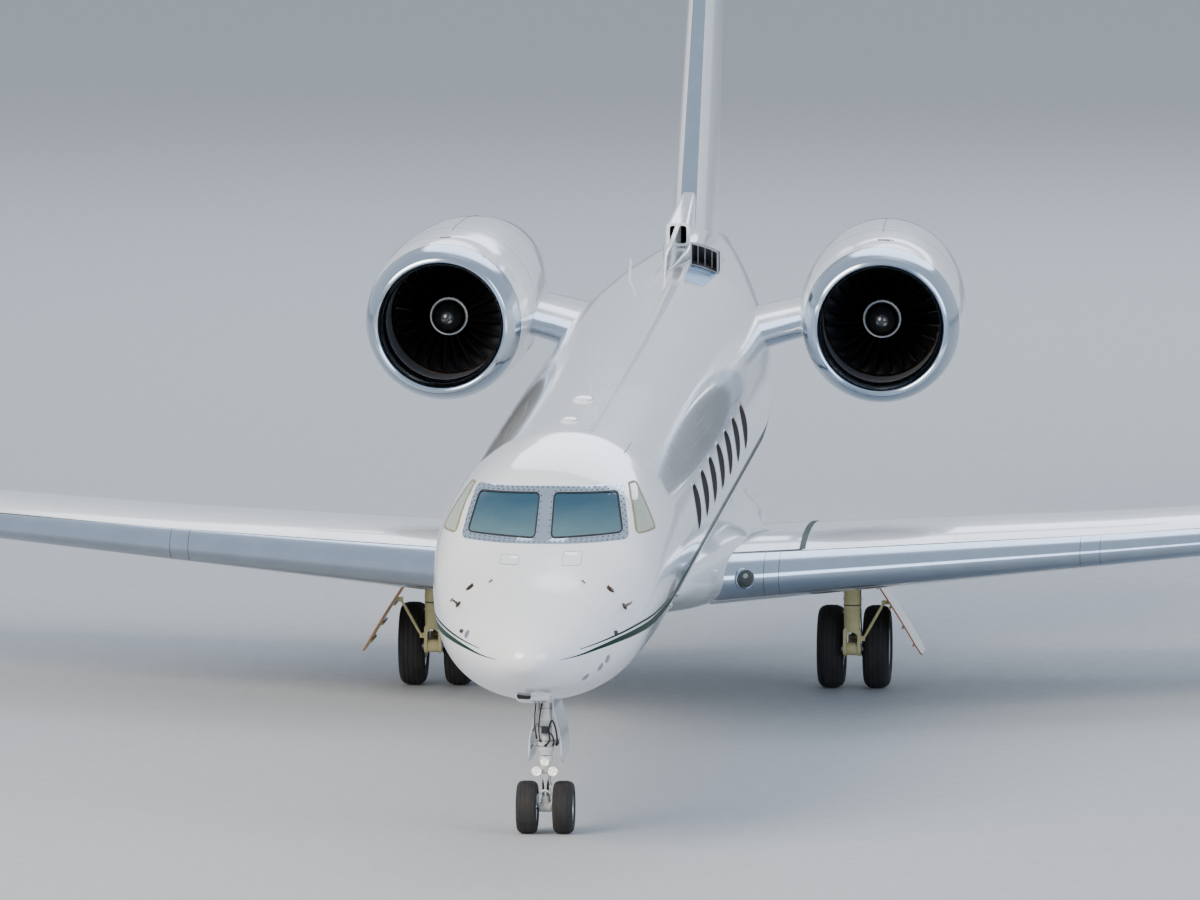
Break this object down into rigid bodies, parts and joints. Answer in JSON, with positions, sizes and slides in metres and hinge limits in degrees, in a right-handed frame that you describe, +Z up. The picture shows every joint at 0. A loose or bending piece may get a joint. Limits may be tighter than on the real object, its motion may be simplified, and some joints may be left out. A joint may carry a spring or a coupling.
{
  "type": "business jet",
  "caption": "Large-cabin twin-engined business jet standing on its landing gear, with swept wings, winglets, T-tail and rear-mounted engines.",
  "frame": {"origin": "on the ground under the middle of the jet's bounding box", "axes": "+Y aft along the fuselage, +X to the jet's left wing tip, +Z up"},
  "size_m": [28.5078, 29.39, 7.8733],
  "materials": {
    "white_paint": "gloss white enamel",
    "polished_metal": "bare polished aluminium",
    "gear_enamel": "pale gloss enamel over machined steel",
    "steel": "machined wheel alloy",
    "tyre_rubber": "black rubber",
    "window_glass": "clear laminated glass",
    "fan_titanium": "brushed titanium",
    "engine_casing": "dull heat-resisting alloy",
    "cockpit_trim": "dark grey trim"
  },
  "bodies": {
    "airframe": {"radome": "white_paint", "forward_fuselage": "white_paint", "cabin_fuselage": "white_paint", "aft_fuselage": "white_paint", "belly_fairing": "white_paint", "sensor_fairing": "white_paint", "cockpit_interior": "cockpit_trim", "windshield_left": "window_glass", "windshield_right": "window_glass", "side_window_left": "window_glass", "side_window_right": "window_glass", "wing_left": "white_paint", "wing_right": "white_paint", "inlet_lip_left": "polished_metal", "inlet_lip_right": "polished_metal", "nacelle_left": "white_paint", "nacelle_right": "white_paint", "engine_left": "engine_casing", "engine_right": "engine_casing", "pylon_left": "white_paint", "pylon_right": "white_paint", "fin": "white_paint", "stabiliser": "white_paint", "nose_leg": "gear_enamel", "nose_door_left": "white_paint", "nose_door_right": "white_paint", "main_leg_left": "gear_enamel", "main_leg_right": "gear_enamel", "trailing_link_left": "gear_enamel", "trailing_link_right": "gear_enamel", "shock_strut_left": "gear_enamel", "shock_strut_right": "gear_enamel", "door_rod_left": "gear_enamel", "door_rod_right": "gear_enamel", "main_gear_door_left": "gear_enamel", "main_gear_door_right": "gear_enamel"},
    "entry_door": {"entry_door": "white_paint"},
    "rudder": {"rudder": "white_paint"},
    "elevator_left": {"elevator_left": "white_paint"},
    "elevator_right": {"elevator_right": "white_paint"},
    "aileron_left": {"aileron_left": "white_paint"},
    "aileron_right": {"aileron_right": "white_paint"},
    "flap_left": {"flap_left": "white_paint"},
    "flap_right": {"flap_right": "white_paint"},
    "spoiler_left": {"spoiler_left": "white_paint"},
    "spoiler_right": {"spoiler_right": "white_paint"},
    "fan_left": {"fan_left": "fan_titanium"},
    "fan_right": {"fan_right": "fan_titanium"},
    "nose_steering": {"nose_steering": "gear_enamel"},
    "nose_wheels": {"nose_wheels": "steel", "nose_tyre_left": "tyre_rubber", "nose_tyre_right": "tyre_rubber"},
    "main_wheel_left": {"main_wheel_left": "steel", "main_tyre_left_inner": "tyre_rubber", "main_tyre_left_outer": "tyre_rubber"},
    "main_wheel_right": {"main_wheel_right": "steel", "main_tyre_right_inner": "tyre_rubber", "main_tyre_right_outer": "tyre_rubber"}
  },
  "joints": [
    {"name": "entry_door_swing", "type": "hinge", "parent": "airframe", "child": "entry_door", "pos_m": [1.088, -10.395, 2.04273], "axis": [0, 0.9997, 0.0227], "range_deg": [0, 128]},
    {"name": "rudder_turn", "type": "hinge", "parent": "airframe", "child": "rudder", "pos_m": [0, 10.77926, 4.35324], "axis": [0, 0.4981, 0.8671], "range_deg": [-22, 22]},
    {"name": "elevator_left_turn", "type": "hinge", "parent": "airframe", "child": "elevator_left", "pos_m": [0.33, 12.91548, 7.74036], "axis": [0.9606, 0.2779, 0.0031], "range_deg": [-13, 24]},
    {"name": "elevator_right_turn", "type": "hinge", "parent": "airframe", "child": "elevator_right", "pos_m": [-5.06, 14.28396, 7.75567], "axis": [0.9606, -0.2779, -0.0031], "range_deg": [-13, 24]},
    {"name": "aileron_left_turn", "type": "hinge", "parent": "airframe", "child": "aileron_left", "pos_m": [12.7, 5.91414, 1.92606], "axis": [-0.9398, -0.3392, -0.0402], "range_deg": [-20, 20]},
    {"name": "aileron_right_turn", "type": "hinge", "parent": "airframe", "child": "aileron_right", "pos_m": [-8.9, 4.5426, 1.76333], "axis": [-0.9398, 0.3392, 0.0402], "range_deg": [-20, 20]},
    {"name": "flap_left_lower", "type": "hinge", "parent": "airframe", "child": "flap_left", "pos_m": [8.6, 4.43433, 1.75048], "axis": [-0.9535, -0.2983, -0.0436], "range_deg": [0, 39]},
    {"name": "flap_right_lower", "type": "hinge", "parent": "airframe", "child": "flap_right", "pos_m": [-1.56, 2.23167, 1.42873], "axis": [-0.9535, 0.2983, 0.0436], "range_deg": [0, 39]},
    {"name": "spoiler_left_raise", "type": "hinge", "parent": "airframe", "child": "spoiler_left", "pos_m": [5.06, 2.56491, 1.77748], "axis": [0.9272, 0.3737, 0.025], "range_deg": [0, 55]},
    {"name": "spoiler_right_raise", "type": "hinge", "parent": "airframe", "child": "spoiler_right", "pos_m": [-8.48, 3.9435, 1.86955], "axis": [0.9272, -0.3737, -0.025], "range_deg": [0, 55]},
    {"name": "fan_left_spin", "type": "hinge", "parent": "airframe", "child": "fan_left", "pos_m": [2.32231, 3.65712, 3.57041], "axis": [-0.0349, 0.9986, 0.0401], "continuous": true},
    {"name": "fan_right_spin", "type": "hinge", "parent": "airframe", "child": "fan_right", "pos_m": [-2.32231, 3.65712, 3.57041], "axis": [0.0349, 0.9986, 0.0401], "continuous": true},
    {"name": "nose_steer", "type": "hinge", "parent": "airframe", "child": "nose_steering", "pos_m": [0, -12.245, 0.765], "axis": [0, 0, 1], "range_deg": [-75, 75]},
    {"name": "nose_wheel_spin", "type": "hinge", "parent": "nose_steering", "child": "nose_wheels", "pos_m": [0, -12.245, 0.25802], "axis": [1, 0, 0], "continuous": true},
    {"name": "main_wheel_left_spin", "type": "hinge", "parent": "airframe", "child": "main_wheel_left", "pos_m": [2.185, 1.505, 0.43326], "axis": [1, 0, 0], "continuous": true},
    {"name": "main_wheel_right_spin", "type": "hinge", "parent": "airframe", "child": "main_wheel_right", "pos_m": [-2.185, 1.505, 0.43326], "axis": [1, 0, 0], "continuous": true}
  ],
  "couplings": [
    {"joint": "elevator_right_turn", "follows": "elevator_left_turn", "ratio": 1},
    {"joint": "aileron_right_turn", "follows": "aileron_left_turn", "ratio": -1},
    {"joint": "flap_right_lower", "follows": "flap_left_lower", "ratio": 1}
  ]
}
